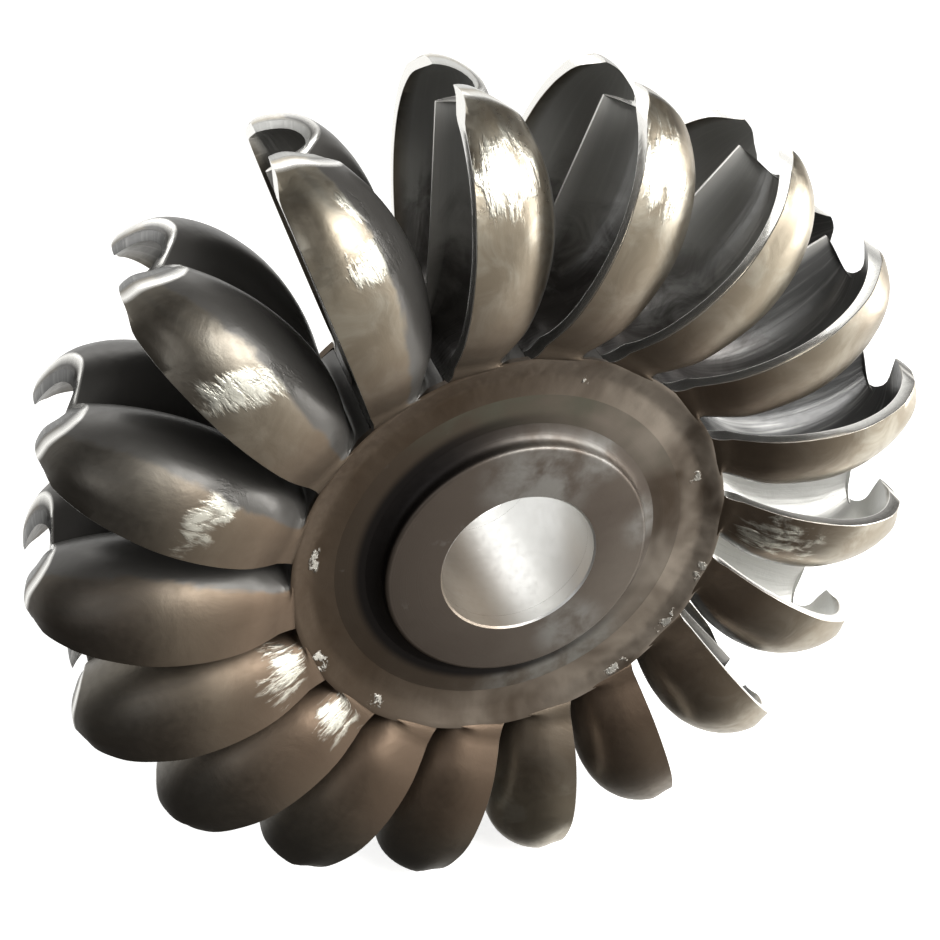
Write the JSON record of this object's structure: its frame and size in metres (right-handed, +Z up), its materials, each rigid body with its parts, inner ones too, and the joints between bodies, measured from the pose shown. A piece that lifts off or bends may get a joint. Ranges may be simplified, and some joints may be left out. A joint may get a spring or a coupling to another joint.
{
  "type": "impulse turbine runner",
  "caption": "Impulse water turbine runner: a bored steel disc with a raised hub ring on each face, ringed by double-cup buckets that take the water jet.",
  "frame": {"origin": "centre of the wheel, on its axis and midway between its two faces", "axes": "+Y along the wheel's axis from the front face to the rear face, +Z up, with the wheel standing on the horn tips of its two lowest buckets"},
  "size_m": [1.5158, 0.446, 1.497],
  "materials": {
    "disc_steel": "satin, machined and stained",
    "hub_steel": "satin, machined and stained",
    "cup_steel": "ground and part polished, dull brown patina"
  },
  "bodies": {
    "root": {"disc": "disc_steel", "hub_front": "hub_steel", "hub_rear": "hub_steel", "bucket_01": "cup_steel", "bucket_02": "cup_steel", "bucket_03": "cup_steel", "bucket_04": "cup_steel", "bucket_05": "cup_steel", "bucket_06": "cup_steel", "bucket_07": "cup_steel", "bucket_08": "cup_steel", "bucket_09": "cup_steel", "bucket_10": "cup_steel", "bucket_11": "cup_steel", "bucket_12": "cup_steel", "bucket_13": "cup_steel", "bucket_14": "cup_steel", "bucket_15": "cup_steel", "bucket_16": "cup_steel", "bucket_17": "cup_steel", "bucket_18": "cup_steel"}
  },
  "joints": []
}
